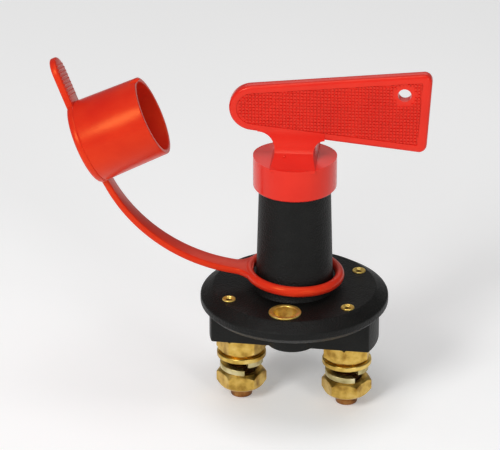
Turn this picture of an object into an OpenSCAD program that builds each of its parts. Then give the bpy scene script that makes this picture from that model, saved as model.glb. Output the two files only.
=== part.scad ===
// Key-operated battery switch: a turning key lifts out of a riveted housing,
// and a tethered dust cover hangs beside it. Origin on the mounting plane,
// under the centre of the post; X runs through both terminals.

/* [Flange] */
// Radius of the round flange
flange_r = 34; // [33:0.5:40]
// Height of the upright flange rim
flange_rim_h = 4.6; // [4:0.1:6]
// Height of the flat top of the flange
flange_h = 7.5; // [7.2:0.1:8]
// Radius of the flat top, inside the sloping edge
flange_top_r = 29.8; // [29.6:0.1:31]
// Distance from the post to each mounting bush
bush_y = 23; // [22:0.5:23.5]
// Radius of the hole through a mounting bush
bush_bore_r = 2.65; // [2.2:0.05:3]
// Rivet position along X
rivet_x = 21.5; // [20:0.5:22]
// Rivet position along Y
rivet_y = 15.2; // [15:0.1:16]

/* [Post] */
// Post radius where it leaves the flange
post_base_r = 13.8; // [13.5:0.1:14]
// Post radius at its top
post_top_r = 12.7; // [12.5:0.1:12.8]
// Height of the post above the mounting plane
post_h = 56; // [55.5:0.1:56]

/* [Lower housing] */
// Radius of the terminal block's round ends
block_r = 30.8; // [30.6:0.1:31]
// Width of the terminal block across its flat sides
block_w = 22.4; // [22:0.1:24]
// Depth of the terminal block below the mounting plane
block_d = 12.3; // [12.2:0.1:13]
// Radius of the bulge on each flat side
bulge_r = 9.2; // [9:0.1:9.4]

/* [Terminals] */
// Distance from the post to each terminal stud
terminal_x = 19.4; // [19:0.1:19.6]
// Radius of a terminal stud
stud_r = 5; // [4.5:0.5:5]
// Length of a stud below the mounting plane
stud_d = 38.2; // [38:0.1:42]
// Width across the flats of every nut
nut_flats = 16; // [16:0.5:17]
// Radius of a flat washer
washer_r = 9; // [8.8:0.1:9.5]

/* [Key] */
// Direction of the key's long end from X, switch off
key_angle = 4; // [0:1:8]
// Length of the key's blade
blade_l = 72; // [66:1:74]
// Blade length on the short side of the stem axis
blade_back = 23.5; // [22:0.5:24]
// Thickness of the blade
blade_t = 4.8; // [4:0.1:5.4]
// Height of the blade's centre line
blade_z = 77.5; // [77:0.5:80]
// Radius of the blade's round end
blade_end_r = 8.6; // [8:0.1:9]
// Radius of the key's hub
hub_r = 15; // [14.8:0.1:15.6]
// Radius of the hole for a key ring
ring_hole_r = 2.4; // [2:0.1:3]

/* [Cover] */
// Direction of the hanging cover from -X
cover_angle = 6; // [4:1:9]
// Strap bend radius
strap_bend_r = 60.5; // [60:0.5:61]
// Width of the strap
strap_w = 8.2; // [7:0.1:9]
// Thickness of the strap
strap_t = 2.4; // [2.2:0.1:2.6]
// Radius of the cup at its mouth
cup_mouth_r = 14.6; // [14.4:0.1:15]
// Radius inside the cup
cup_bore_r = 13; // [12.9:0.1:13.2]
// Length of the cover along the cup's axis
cup_l = 26.8; // [26:0.1:28]
// Distance from the cup's axis to the tip of the pull tab
tab_reach = 32.4; // [30:0.1:34]

/* [Mechanism] */
// Distance that the contacts travel from off to on
contact_travel = 4; // [4:0.1:4.2]
// Radius of the key's stem
stem_r = 5; // [4.8:0.1:5]
// Reach of the lugs on the key's stem
lug_reach = 8; // [7.6:0.1:8]

/* [Hidden] */
$fn = 96;

black_plastic = "#1d1d1b";
red_plastic = "#d9231f";
soft_red = "#d8351f";
brass = "#c79a3c";
copper = "#b9693b";
steel = "#b8bcc0";
nylon = "#d8d4c6";

cut = 1;                     // how far a cutter passes through a face
fit = 0.05;                  // gap round a fixed fastener
play = 0.3;                  // gap between parts that move

// housings
recess_h = 3;
disc_r = 31;
rim_chamfer = 2.1;           // under the flange's rim
shoulder_r = 15;
shoulder_z = 9.4;
bore_r = 9.6;                // post bore round the rotor
bore_top = 31.3;
neck_bore_r = 8.7;           // post bore above the rotor
plate_z = 50;                // underside of the post's top plate
chamber = [54.6, 18];
chamber_z = -5.6;
chamber_corner = 3;
pocket = 13.4;
pocket_z = -9.3;
well_r = 7.8;
well_z = -10.3;

// fasteners of the housings
bush_barrel_r = 4.9;
bush_rim_r = 5.85;
bush_rim_h = 0.7;
bush_recess_r = 4.2;         // recess for the head of a mounting screw
bush_recess_z = 3.2;
rivet_shank_r = 1.5;
rivet_hole_r = 1;
rivet_head_r = 2.45;
rivet_foot_r = 2.4;
rivet_foot_h = 0.6;
foot_recess = 0.8;

// terminal stack, measured down from the mounting plane
head_z = -4.85;
head_w = 13;
base_nut_z = -20.1;
flat_washer_z = -22.1;
spring_washer_z = -27.5;
terminal_nut_z = -34;
dog_r = 4;
nut_bore_r = stud_r + fit;
nut_corner_r = nut_flats / 2 / cos(30);
nut_chamfer = 0.7;
washer_bore_r = 5.3;
spring_washer_in = 5.3;
spring_washer_w = 2.6;
spring_washer_t = 2.2;
nut_turns = [[9, 9], [31, 2]];        // base nut and terminal nut, left then right
split_turns = [-73, -60];

// key
key_turn = 90;               // from off to on
hub_z = 47.2;
hub_top = 59.3;
hub_fall = [1.3, 0.1];       // drop of the hub's top from its crease to its back and front edges
skirt_r = 13.3;
stem_z = 18.2;
lug_z = 19;
lug_h = 5;
lug_w = 4;
blade_taper = 5.8;
blade_long = blade_l - blade_back;
end_lean = 1.6;
corner_r = 3;
field_inset = 2.6;
field_d = 0.45;
ring_hole = [38.8, 84.5];
neck_half = 6.9;             // half width at the waist
neck_z = 62.5;               // height of the waist
neck_foot = [4.8, 43];       // radius and turn of the flare below the waist
neck_arm_r = [6.4, 3.8];     // flare into the blade on its short and long sides
sweep_r = 14.6;              // reach of the neck's curved front and back at the hub
blade_low = blade_z - blade_end_r;

// rotor, plunger and springs
rotor_r = 9.3;
rotor_z = 16;
rotor_top = 31;
socket_z = 17.5;
socket_r = stem_r + play;
slot_w = lug_w + 2 * play;
slot_reach = lug_reach + play;
cam_in = 6;
cam_out = 9;
cam_z = 14.6;
cam_step = 5;
follower_in = 6.5;
follower_out = 8.7;
follower_w = 2;
follower_top = 13.9;
plunger_r = 8.9;
plunger_z = 6.5;
plunger_h = 3;
wing_reach = 11.2;
wing_w = 5;
boss_r = 5;
boss_h = 2.6;
spindle_r = 3.2;
spindle_z = -3.2;
bridge_l = 52;
bridge_w = 13;
bridge_t = 3;
bridge_z = -0.8;
bridge_corner = 2.5;
clip_r = 5;
clip_t = 0.8;
contact_wire = 0.45;
contact_coil_r = 6.9;
return_wire = 0.5;
return_coil_r = 6.3;

// cover, in a plane where u points away from +X and z points up
ring_r = 16.35;
ring_z = 12.8;
ring_tilt = 3;
ring_w = 3.3;
ring_h = 3.8;
strap_centre = [-12.75, 74.31];
strap_from = 4.5;
strap_to = 65.6;
hinge_angles = [19.6, 49.8];
knuckle_r = strap_t / 2;
edge_round = 0.7;
mouth = [-50.7, 73.4];
cup_tilt = 25.1;
cup_foot_r = 15.1;
cup_disc_r = 15.4;
cup_floor = 2.8;
tab_turn = 17;
tab_w = 12;
tab_t = 2.5;
tab_lift = 0.15;
tab_root = 1.9;

function polar(r, a) = [r * cos(a), r * sin(a)];
function arc(centre, r, from, to, n = 10) =
    [for (i = [0 : n]) centre + polar(r, from + (to - from) * i / n)];
function strap_point(a) = strap_centre - strap_bend_r * [sin(a), cos(a)];
function rounded_box(w, h, r) = concat(
    arc([w / 2 - r, h / 2 - r], r, 0, 90, 6), arc([r - w / 2, h / 2 - r], r, 90, 180, 6),
    arc([r - w / 2, r - h / 2], r, 180, 270, 6), arc([w / 2 - r, r - h / 2], r, 270, 360, 6));
// quads between neighbouring rings of k points, rings numbered from 0 to n
function side_faces(n, k) =
    [for (i = [0 : n - 1], j = [0 : k - 1])
        [i * k + j, i * k + (j + 1) % k, (i + 1) * k + (j + 1) % k, (i + 1) * k + j]];
function closed_tube(n, k) = concat([[for (j = [k - 1 : -1 : 0]) j]], side_faces(n, k),
    [[for (j = [0 : k - 1]) n * k + j]]);
// drop of the cam face at an angle ahead of its follower, two lobes a turn
function cam_drop(a) = let (m = ((a % 180) + 180) % 180)
    m <= key_turn ? contact_travel * m / key_turn
    : m <= 112 ? contact_travel
    : m <= 158 ? contact_travel * (158 - m) / 46
    : 0;

// one coil spring from z = low to z = high, measured over the wire
module coil(r, wire, low, high, turns, sides = 8, steps = 18) {
    n = round(turns * steps);
    rise = high - low - 2 * wire;
    points = [for (i = [0 : n], j = [0 : sides - 1])
        let (a = 360 * i / steps, b = 360 * j / sides, p = r + wire * cos(b))
        [p * cos(a), p * sin(a), low + wire + rise * i / n + wire * sin(b)]];
    polyhedron(points, closed_tube(n, sides), convexity = 8);
}

module key_shape_slot(reach, width, low, high) {
    rotate([0, 0, key_angle]) intersection() {
        translate([-reach - cut, -width / 2, low]) cube([2 * (reach + cut), width, high - low]);
        translate([0, 0, low]) cylinder(r = reach, h = high - low);
    }
}

module at_rivets() {
    for (sx = [-1, 1], sy = [-1, 1]) translate([sx * rivet_x, sy * rivet_y, 0]) children();
}

module at_bushes() {
    for (side = [-1, 1]) translate([0, side * bush_y, 0]) children();
}

module at_terminals() {
    for (side = [-1, 1]) translate([side * terminal_x, 0, 0]) children();
}

module upper_housing() {
    color(black_plastic) difference() {
        rotate_extrude() polygon(concat(
            [[0, 0], [flange_r - rim_chamfer, 0], [flange_r, rim_chamfer]],
            arc([flange_r - 0.8, flange_rim_h - 0.6], 0.8, 0, 55, 4),
            arc([flange_top_r - 0.9, flange_h - 1.2], 1.2, 55, 90, 4),
            [[shoulder_r, flange_h], [post_base_r + 0.1, shoulder_z]],
            arc([post_top_r - 1.2, post_h - 1.2], 1.2, 2, 90, 6),
            [[0, post_h]]));
        translate([0, 0, -cut]) cylinder(r = disc_r + 0.2, h = recess_h + cut);
        cylinder(r = bore_r, h = bore_top);
        cylinder(r = neck_bore_r, h = plate_z);
        translate([0, 0, plate_z - cut]) cylinder(r = socket_r, h = post_h - plate_z + 2 * cut);
        key_shape_slot(slot_reach, slot_w, plate_z - cut, post_h + cut);
        translate([-wing_reach - 2 * play, -wing_w / 2 - play, recess_h - cut])
            cube([2 * wing_reach + 4 * play, wing_w + 2 * play,
                plunger_z + plunger_h + 2 * play - recess_h + cut]);
        at_rivets() cylinder(r = rivet_shank_r + fit, h = flange_h + cut);
        at_bushes() cylinder(r = bush_barrel_r + fit, h = flange_h + cut);
    }
}

module block_outline() {
    intersection() {
        circle(r = block_r);
        square([2 * block_r + cut, block_w], center = true);
    }
    for (side = [-1, 1]) translate([0, side * (block_w / 2 - 5)]) circle(r = bulge_r);
}

module lower_housing() {
    color(black_plastic) difference() {
        union() {
            cylinder(r = disc_r, h = recess_h);
            translate([0, 0, -block_d]) linear_extrude(block_d + cut) block_outline();
        }
        translate([0, 0, chamber_z]) linear_extrude(recess_h - chamber_z + cut)
            polygon(rounded_box(chamber[0], chamber[1], chamber_corner));
        at_terminals() {
            translate([-pocket / 2, -pocket / 2, pocket_z]) cube([pocket, pocket, chamber_z - pocket_z + cut]);
            translate([0, 0, -block_d - cut]) cylinder(r = nut_bore_r, h = block_d);
        }
        translate([0, 0, well_z]) cylinder(r = well_r, h = chamber_z - well_z + cut);
        at_rivets() {
            cylinder(r = rivet_shank_r + fit, h = recess_h + cut);
            translate([0, 0, -cut]) cylinder(r = rivet_foot_r + fit, h = foot_recess + cut);
        }
        at_bushes() translate([0, 0, -cut]) cylinder(r = bush_barrel_r + fit, h = recess_h + 2 * cut);
    }
}

module mounting_bush(side) {
    color(brass) translate([0, side * bush_y, 0]) rotate_extrude() polygon(concat(
        [[bush_bore_r, 0], [bush_barrel_r, 0], [bush_barrel_r, flange_h], [bush_rim_r, flange_h]],
        arc([bush_rim_r - 0.35, flange_h + 0.35], 0.35, 0, 90, 3),
        arc([bush_recess_r + 0.35, flange_h + bush_rim_h - 0.35], 0.35, 90, 180, 3),
        [[bush_recess_r, bush_recess_z], [bush_bore_r, bush_recess_z]]));
}

module rivet(sx, sy) {
    color(brass) translate([sx * rivet_x, sy * rivet_y, 0]) rotate_extrude() polygon(concat(
        [[rivet_hole_r, foot_recess - rivet_foot_h], [rivet_foot_r, foot_recess - rivet_foot_h],
            [rivet_foot_r, foot_recess], [rivet_shank_r, foot_recess], [rivet_shank_r, flange_h]],
        arc([rivet_head_r - 0.45, flange_h], 0.45, 0, 180, 6),
        [[rivet_hole_r, flange_h - 0.8]]));
}

// ring whose lower face is the two-lobed cam
module cam_ring() {
    n = 360 / cam_step;
    points = [for (i = [0 : n - 1], p = [[cam_in, 0], [cam_out, 0], [cam_out, 1], [cam_in, 1]])
        let (a = i * cam_step)
        [p[0] * cos(a), p[0] * sin(a), p[1] == 0 ? cam_z - cam_drop(a - 90) : rotor_z + 0.4]];
    faces = [for (i = [0 : n - 1], j = [0 : 3])
        [i * 4 + j, i * 4 + (j + 1) % 4, ((i + 1) % n) * 4 + (j + 1) % 4, ((i + 1) % n) * 4 + j]];
    polyhedron(points, faces, convexity = 6);
}

module rotor() {
    color(nylon) {
        difference() {
            translate([0, 0, rotor_z]) cylinder(r = rotor_r, h = rotor_top - rotor_z);
            translate([0, 0, socket_z]) cylinder(r = socket_r, h = rotor_top);
            key_shape_slot(slot_reach, slot_w, socket_z, rotor_top + cut);
        }
        cam_ring();
    }
}

// side view of the blade: a round short end that widens to a leaning long end
module blade_outline(inset) {
    high = tan(blade_taper);
    rise = blade_end_r - inset;
    x0 = blade_end_r - blade_back;
    x1 = blade_long - 1.25 * inset;
    r = max(corner_r - inset, 0.6);
    function edge(x) = rise / cos(blade_taper) + high * (x - x0);
    polygon(concat(
        arc([x0, 0], rise, 90 + blade_taper, 270 - blade_taper, 24),
        arc([x1 - end_lean - r, r - edge(x1 - end_lean)], r, 270 + blade_taper, 358, 6),
        arc([x1 - r, edge(x1) - r], r, -2, 90 - blade_taper, 6)));
}

// neck seen from the front: waisted, flaring into the blade above and the hub below
module neck_front() {
    foot = neck_foot[0];
    turn = neck_foot[1];
    polygon(concat(
        arc([-neck_half - foot, neck_z], foot, -turn, 0, 6),
        arc([-neck_half - neck_arm_r[0], neck_z], neck_arm_r[0], 0, 90, 12),
        [[-neck_half - neck_arm_r[0], blade_low + 2], [neck_half + neck_arm_r[1], blade_low + 2]],
        arc([neck_half + neck_arm_r[1], neck_z], neck_arm_r[1], 90, 180, 10),
        arc([neck_half + foot, neck_z], foot, 180, 180 + turn, 6),
        [[neck_half + 1, hub_top - 1], [-neck_half - 1, hub_top - 1]]));
}

// neck seen from the side: a quarter ellipse from the blade's face to the hub's rim
module neck_side() {
    reach = sweep_r - blade_t / 2;
    rise = blade_low + 1.5 - hub_top;
    front = [for (i = [0 : 10]) let (a = 8 * i)
        [sweep_r - reach * cos(a), blade_low + 1.5 - rise * sin(a)]];
    for (side = [0, 1]) mirror([side, 0])
        polygon(concat([[-0.5, blade_low + 2], [blade_t / 2, blade_low + 2]], front,
            [[sweep_r - reach * cos(80), hub_top - 1], [-0.5, hub_top - 1]]));
}

module key() {
    color(red_plastic) rotate([0, 0, key_angle]) difference() {
        union() {
            // hub with a creased top
            intersection() {
                translate([0, 0, hub_z]) cylinder(r = hub_r, h = hub_top + cut - hub_z);
                rotate([90, 0, 90]) translate([0, 0, -hub_r - cut]) linear_extrude(2 * (hub_r + cut))
                    polygon([[-hub_r, hub_z], [hub_r, hub_z], [hub_r, hub_top - hub_fall[0]],
                        [0, hub_top], [-hub_r, hub_top - hub_fall[1]]]);
            }
            intersection() {
                rotate([90, 0, 0]) translate([0, 0, -hub_r]) linear_extrude(2 * hub_r) neck_front();
                rotate([90, 0, 90]) translate([0, 0, -hub_r - cut]) linear_extrude(2 * (hub_r + cut))
                    neck_side();
            }
            translate([0, blade_t / 2, blade_z]) rotate([90, 0, 0]) linear_extrude(blade_t)
                blade_outline(0);
        }
        // skirt round the top of the post
        translate([0, 0, hub_z - cut]) cylinder(r = skirt_r, h = post_h + play + 0.1 - hub_z + cut);
        // sunken field on each face and a hole for a key ring
        for (side = [-1, 1])
            translate([0, side * blade_t / 2 + field_d, blade_z]) rotate([90, 0, 0])
                linear_extrude(2 * field_d) blade_outline(field_inset);
        translate([ring_hole[0], blade_t, ring_hole[1]]) rotate([90, 0, 0])
            cylinder(r = ring_hole_r, h = 2 * blade_t);
    }
    // stem with two lugs
    color(red_plastic) rotate([0, 0, key_angle]) {
        translate([0, 0, stem_z]) cylinder(r = stem_r, h = hub_top - 1 - stem_z);
        intersection() {
            translate([-lug_reach, -lug_w / 2, lug_z]) cube([2 * lug_reach, lug_w, lug_h]);
            translate([0, 0, lug_z]) cylinder(r = lug_reach, h = lug_h);
        }
    }
}

module plunger() {
    color(nylon) {
        translate([0, 0, plunger_z]) cylinder(r = plunger_r, h = plunger_h);
        translate([-wing_reach, -wing_w / 2, plunger_z]) cube([2 * wing_reach, wing_w, plunger_h]);
        translate([0, 0, plunger_z - boss_h]) cylinder(r = boss_r, h = boss_h + cut);
        translate([0, 0, spindle_z]) cylinder(r = spindle_r, h = plunger_z - spindle_z);
        for (side = [-1, 1])
            translate([-follower_w / 2, side > 0 ? follower_in : -follower_out, plunger_z])
                cube([follower_w, follower_out - follower_in, follower_top - plunger_z]);
    }
}

module contact_bridge() {
    color(copper) translate([0, 0, bridge_z]) difference() {
        linear_extrude(bridge_t) polygon(rounded_box(bridge_l, bridge_w, bridge_corner));
        translate([0, 0, -cut]) cylinder(r = spindle_r + fit, h = bridge_t + 2 * cut);
    }
}

module bridge_clip() {
    color(steel) translate([0, 0, bridge_z - clip_t]) difference() {
        cylinder(r = clip_r, h = clip_t);
        translate([0, 0, -cut]) cylinder(r = spindle_r + fit, h = clip_t + 2 * cut);
    }
}

module contact_spring() {
    color(steel) coil(contact_coil_r, contact_wire, bridge_z + bridge_t + fit, plunger_z - fit, 3);
}

module return_spring() {
    color(steel) coil(return_coil_r, return_wire, well_z + fit, bridge_z - fit, 4.5);
}

module terminal_stud(side) {
    color(copper) translate([side * terminal_x, 0, 0]) {
        translate([-head_w / 2, -head_w / 2, pocket_z]) cube([head_w, head_w, head_z - pocket_z]);
        rotate_extrude() polygon([[0, pocket_z + cut], [stud_r, pocket_z + cut],
            [stud_r, terminal_nut_z - 0.3], [dog_r, terminal_nut_z - 0.9],
            [dog_r, 0.5 - stud_d], [dog_r - 0.5, -stud_d], [0, -stud_d]]);
    }
}

module nut(side, low, high, turn) {
    color(brass) translate([side * terminal_x, 0, low]) difference() {
        intersection() {
            rotate([0, 0, turn]) cylinder(r = nut_corner_r, h = high - low, $fn = 6);
            rotate_extrude() polygon([[0, 0], [nut_corner_r - nut_chamfer, 0], [nut_corner_r, nut_chamfer / 2],
                [nut_corner_r, high - low - nut_chamfer / 2], [nut_corner_r - nut_chamfer, high - low],
                [0, high - low]]);
        }
        translate([0, 0, -cut]) cylinder(r = nut_bore_r, h = high - low + 2 * cut);
    }
}

module base_nut(side) {
    nut(side, base_nut_z, -block_d, nut_turns[side < 0 ? 0 : 1][0]);
}

module terminal_nut(side) {
    nut(side, terminal_nut_z, spring_washer_z, nut_turns[side < 0 ? 0 : 1][1]);
}

module flat_washer(side) {
    color(brass) translate([side * terminal_x, 0, flat_washer_z]) difference() {
        cylinder(r = washer_r, h = base_nut_z - flat_washer_z);
        translate([0, 0, -cut]) cylinder(r = washer_bore_r, h = base_nut_z - flat_washer_z + 2 * cut);
    }
}

// one split turn, rising clockwise as seen from above
module spring_washer(side) {
    n = 48;
    rise = flat_washer_z - spring_washer_z - spring_washer_t;
    from = split_turns[side < 0 ? 0 : 1];
    outer = spring_washer_in + spring_washer_w;
    points = [for (i = [0 : n], p = [[spring_washer_in, 0], [spring_washer_in, 1], [outer, 1], [outer, 0]])
        let (a = from - 352 * i / n)
        [p[0] * cos(a), p[0] * sin(a), spring_washer_z + rise * i / n + p[1] * spring_washer_t]];
    color(brass) translate([side * terminal_x, 0, 0]) polyhedron(points, closed_tube(n, 4), convexity = 4);
}

// stretch of the strap between two angles of its bend
module strap_piece(from, to) {
    translate([strap_centre[0], 0, strap_centre[1]]) rotate([90, 0, 0]) rotate([0, 0, 270 - to])
        rotate_extrude(angle = to - from) translate([strap_bend_r, 0])
            polygon(rounded_box(strap_t, strap_w, edge_round));
}

module knuckle(i, r, w) {
    p = strap_point(hinge_angles[i]);
    translate([p[0], w / 2, p[1]]) rotate([90, 0, 0]) cylinder(r = r, h = w);
}

module cover_ring() {
    color(soft_red) rotate([0, 0, cover_angle]) {
        translate([0, 0, ring_z]) rotate([0, ring_tilt, 0]) rotate_extrude()
            translate([ring_r, 0]) polygon(rounded_box(ring_w, ring_h, 1.5));
        difference() {
            strap_piece(strap_from - 1.5, hinge_angles[0]);
            knuckle(0, knuckle_r + play, strap_w + 2 * cut);
        }
    }
}

module strap_middle() {
    color(soft_red) rotate([0, 0, cover_angle]) {
        difference() {
            strap_piece(hinge_angles[0], hinge_angles[1]);
            knuckle(1, knuckle_r + play, strap_w + 2 * cut);
        }
        knuckle(0, knuckle_r, strap_w - 0.4);
    }
}

module cover_cap() {
    color(soft_red) rotate([0, 0, cover_angle]) {
        strap_piece(hinge_angles[1], strap_to);
        knuckle(1, knuckle_r, strap_w - 0.4);
        // cup lies along local Z with its mouth at the top
        translate([mouth[0], 0, mouth[1]]) rotate([0, 90 - cup_tilt, 0]) translate([0, 0, -cup_l]) {
            rotate_extrude() polygon(concat(
                [[0, 0]],
                arc([cup_disc_r - 1.1, 1.1], 1.1, 270, 360, 5),
                [[cup_disc_r, cup_floor - 0.6], [cup_foot_r, cup_floor], [cup_mouth_r, cup_l - 0.3],
                    [cup_mouth_r - 0.3, cup_l], [cup_bore_r + 0.2, cup_l], [cup_bore_r, cup_l - 0.2],
                    [cup_bore_r, cup_floor], [0, cup_floor]]));
            rotate([0, 0, 180 - tab_turn]) translate([0, 0, tab_lift]) {
                translate([cup_foot_r - tab_root, -tab_w / 2, 0])
                    cube([tab_reach - tab_w / 2 - cup_foot_r + tab_root, tab_w, tab_t]);
                translate([tab_reach - tab_w / 2, 0, 0]) cylinder(r = tab_w / 2, h = tab_t);
            }
        }
    }
}

upper_housing();
lower_housing();
mounting_bush(-1);  // mounting_bush_front
mounting_bush(1);  // mounting_bush_rear
rivet(-1, -1);  // rivet_front_left
rivet(1, -1);  // rivet_front_right
rivet(-1, 1);  // rivet_rear_left
rivet(1, 1);  // rivet_rear_right
rotor();
key();
plunger();
contact_bridge();
bridge_clip();
contact_spring();
return_spring();
terminal_stud(-1);  // terminal_stud_left
terminal_stud(1);  // terminal_stud_right
base_nut(-1);  // base_nut_left
base_nut(1);  // base_nut_right
flat_washer(-1);  // flat_washer_left
flat_washer(1);  // flat_washer_right
spring_washer(-1);  // spring_washer_left
spring_washer(1);  // spring_washer_right
terminal_nut(-1);  // terminal_nut_left
terminal_nut(1);  // terminal_nut_right
cover_ring();
strap_middle();
cover_cap();
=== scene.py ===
import bpy
import bmesh
import math
from mathutils import Matrix, Vector


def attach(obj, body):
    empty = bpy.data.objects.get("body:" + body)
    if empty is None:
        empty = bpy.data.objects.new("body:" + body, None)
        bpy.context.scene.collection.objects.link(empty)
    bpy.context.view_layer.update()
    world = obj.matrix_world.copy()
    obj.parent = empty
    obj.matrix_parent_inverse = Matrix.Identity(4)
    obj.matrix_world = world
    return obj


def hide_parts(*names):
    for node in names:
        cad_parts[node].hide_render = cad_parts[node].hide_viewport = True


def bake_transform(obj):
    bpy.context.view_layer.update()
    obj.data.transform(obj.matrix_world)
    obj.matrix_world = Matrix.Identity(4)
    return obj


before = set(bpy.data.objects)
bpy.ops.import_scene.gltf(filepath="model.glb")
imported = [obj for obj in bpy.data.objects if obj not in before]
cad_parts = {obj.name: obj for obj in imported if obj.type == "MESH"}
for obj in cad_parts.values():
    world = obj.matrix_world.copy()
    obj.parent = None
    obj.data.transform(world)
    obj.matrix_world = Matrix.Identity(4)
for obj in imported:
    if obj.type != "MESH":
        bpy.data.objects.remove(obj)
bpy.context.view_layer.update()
print("frame loaded:", len(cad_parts), "nodes")

mm = 0.001


# small tools, in millimetres and degrees
def arc(cx, cy, radius, start, end, steps=8):
    # points on a round stretch, angles in degrees
    points = []
    for i in range(steps + 1):
        a = math.radians(start + (end - start) * i / steps)
        points.append((cx + radius * math.cos(a), cy + radius * math.sin(a)))
    return points


def roundOutline(cx, cy, radius, count):
    return arc(cx, cy, radius, 0, 360 - 360 / count, count - 1)


def newPiece(name, verts, faces, material, smooth=35):
    # verts are in millimetres
    mesh = bpy.data.meshes.new(name)
    mesh.from_pydata([Vector(v) * mm for v in verts], [], faces)
    bm = bmesh.new()
    bm.from_mesh(mesh)
    bmesh.ops.remove_doubles(bm, verts=bm.verts, dist=1e-7)
    bmesh.ops.recalc_face_normals(bm, faces=bm.faces)
    bm.to_mesh(mesh)
    bm.free()
    piece = bpy.data.objects.new(name, mesh)
    bpy.context.scene.collection.objects.link(piece)
    mesh.materials.append(material)
    shadeByAngle(piece, smooth)
    return piece


def shadeByAngle(piece, angle):
    mesh = piece.data
    mesh.polygons.foreach_set("use_smooth", [True] * len(mesh.polygons))
    mesh.set_sharp_from_angle(angle=math.radians(angle))


def applyModifiers(piece):
    # bakes every modifier into the mesh
    graph = bpy.context.evaluated_depsgraph_get()
    done = bpy.data.meshes.new_from_object(piece.evaluated_get(graph), depsgraph=graph)
    old = piece.data
    piece.modifiers.clear()
    piece.data = done
    bpy.data.meshes.remove(old)


def combine(piece, others, operation):
    # joins, cuts or intersects a piece with others, which are used up
    for other in others:
        modifier = piece.modifiers.new(operation, "BOOLEAN")
        modifier.operation = operation
        modifier.solver = "EXACT"
        modifier.object = other
        bpy.context.view_layer.update()
        applyModifiers(piece)
        bpy.data.objects.remove(other)
    return piece


def joinPieces(piece, others):
    # puts the others' meshes into the piece, as they are
    bm = bmesh.new()
    bm.from_mesh(piece.data)
    for other in others:
        bm.from_mesh(other.data)
        bpy.data.objects.remove(other)
    bm.to_mesh(piece.data)
    bm.free()
    return piece


def soften(piece, width, segments=3, angle=32, smooth=35):
    # rounds the edges sharper than angle
    modifier = piece.modifiers.new("soften", "BEVEL")
    modifier.width = width * mm
    modifier.segments = segments
    modifier.limit_method = "ANGLE"
    modifier.angle_limit = math.radians(angle)
    bpy.context.view_layer.update()
    applyModifiers(piece)
    shadeByAngle(piece, smooth)
    return piece


def lathe(name, profile, material, steps=128, centre=(0, 0), smooth=35):
    # profile is a closed outline of (radius, height) turned about an upright axis
    verts, faces, count = [], [], len(profile)
    for i in range(steps):
        a = 2 * math.pi * i / steps
        for r, z in profile:
            verts.append((centre[0] + r * math.cos(a), centre[1] + r * math.sin(a), z))
    for i in range(steps):
        for j in range(count):
            k, n = (j + 1) % count, (i + 1) % steps
            faces.append((i * count + j, n * count + j, n * count + k, i * count + k))
    return newPiece(name, verts, faces, material, smooth)


def solidLathe(name, profile, material, steps=128, centre=(0, 0), smooth=35):
    # the same for an outline whose first and last points are on the axis
    verts, faces, count = [], [], len(profile)
    for i in range(steps):
        a = 2 * math.pi * i / steps
        for r, z in profile:
            verts.append((centre[0] + r * math.cos(a), centre[1] + r * math.sin(a), z))
    for i in range(steps):
        n = (i + 1) % steps
        for j in range(count - 1):
            ring = (i * count + j, n * count + j, n * count + j + 1, i * count + j + 1)
            if j == 0:
                ring = (ring[0], ring[2], ring[3])
            elif j == count - 2:
                ring = (ring[0], ring[1], ring[3])
            faces.append(ring)
    return newPiece(name, verts, faces, material, smooth)


def extrude(name, outline, low, high, material, plane="xy", smooth=35):
    # a flat outline drawn out along the plane's own upright: xy along z, xz along y, yz along x
    order = {"xy": lambda a, b, c: (a, b, c), "xz": lambda a, b, c: (a, c, b), "yz": lambda a, b, c: (c, a, b)}
    place, count = order[plane], len(outline)
    verts = [place(a, b, low) for a, b in outline] + [place(a, b, high) for a, b in outline]
    faces = [tuple(range(count)), tuple(range(2 * count - 1, count - 1, -1))]
    faces += [(i, (i + 1) % count, count + (i + 1) % count, count + i) for i in range(count)]
    return newPiece(name, verts, faces, material, smooth)


def loft(name, rings, material, closed=False, smooth=35):
    # skins a row of rings with equal numbers of points; capped unless closed
    verts = [p for ring in rings for p in ring]
    count, rows = len(rings[0]), len(rings)
    faces = []
    for i in range(rows if closed else rows - 1):
        n = (i + 1) % rows
        for j in range(count):
            k = (j + 1) % count
            faces.append((i * count + j, i * count + k, n * count + k, n * count + j))
    if not closed:
        faces.append(tuple(reversed(range(count))))
        faces.append(tuple(range((rows - 1) * count, rows * count)))
    return newPiece(name, verts, faces, material, smooth)


def turnPiece(piece, matrix):
    piece.data.transform(matrix)
    piece.data.update()
    return piece


# materials
def nodeMaker(name, roughness, metallic=0.0):
    material = bpy.data.materials.new(name)
    material.use_nodes = True
    tree = material.node_tree
    shader = tree.nodes["Principled BSDF"]
    shader.inputs["Roughness"].default_value = roughness
    shader.inputs["Metallic"].default_value = metallic
    return material, tree, shader


def noiseNode(tree, scale, detail=4.0, stretch=(1, 1, 1)):
    place = tree.nodes.new("ShaderNodeTexCoord")
    mapping = tree.nodes.new("ShaderNodeMapping")
    mapping.inputs["Scale"].default_value = stretch
    noise = tree.nodes.new("ShaderNodeTexNoise")
    noise.inputs["Scale"].default_value = scale
    noise.inputs["Detail"].default_value = detail
    tree.links.new(place.outputs["Object"], mapping.inputs["Vector"])
    tree.links.new(mapping.outputs["Vector"], noise.inputs["Vector"])
    return noise


def rampNode(tree, source, stops):
    ramp = tree.nodes.new("ShaderNodeValToRGB")
    while len(ramp.color_ramp.elements) < len(stops):
        ramp.color_ramp.elements.new(0.5)
    for element, (position, colour) in zip(ramp.color_ramp.elements, stops):
        element.position = position
        element.color = (*colour, 1)
    tree.links.new(source, ramp.inputs["Fac"])
    return ramp


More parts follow.
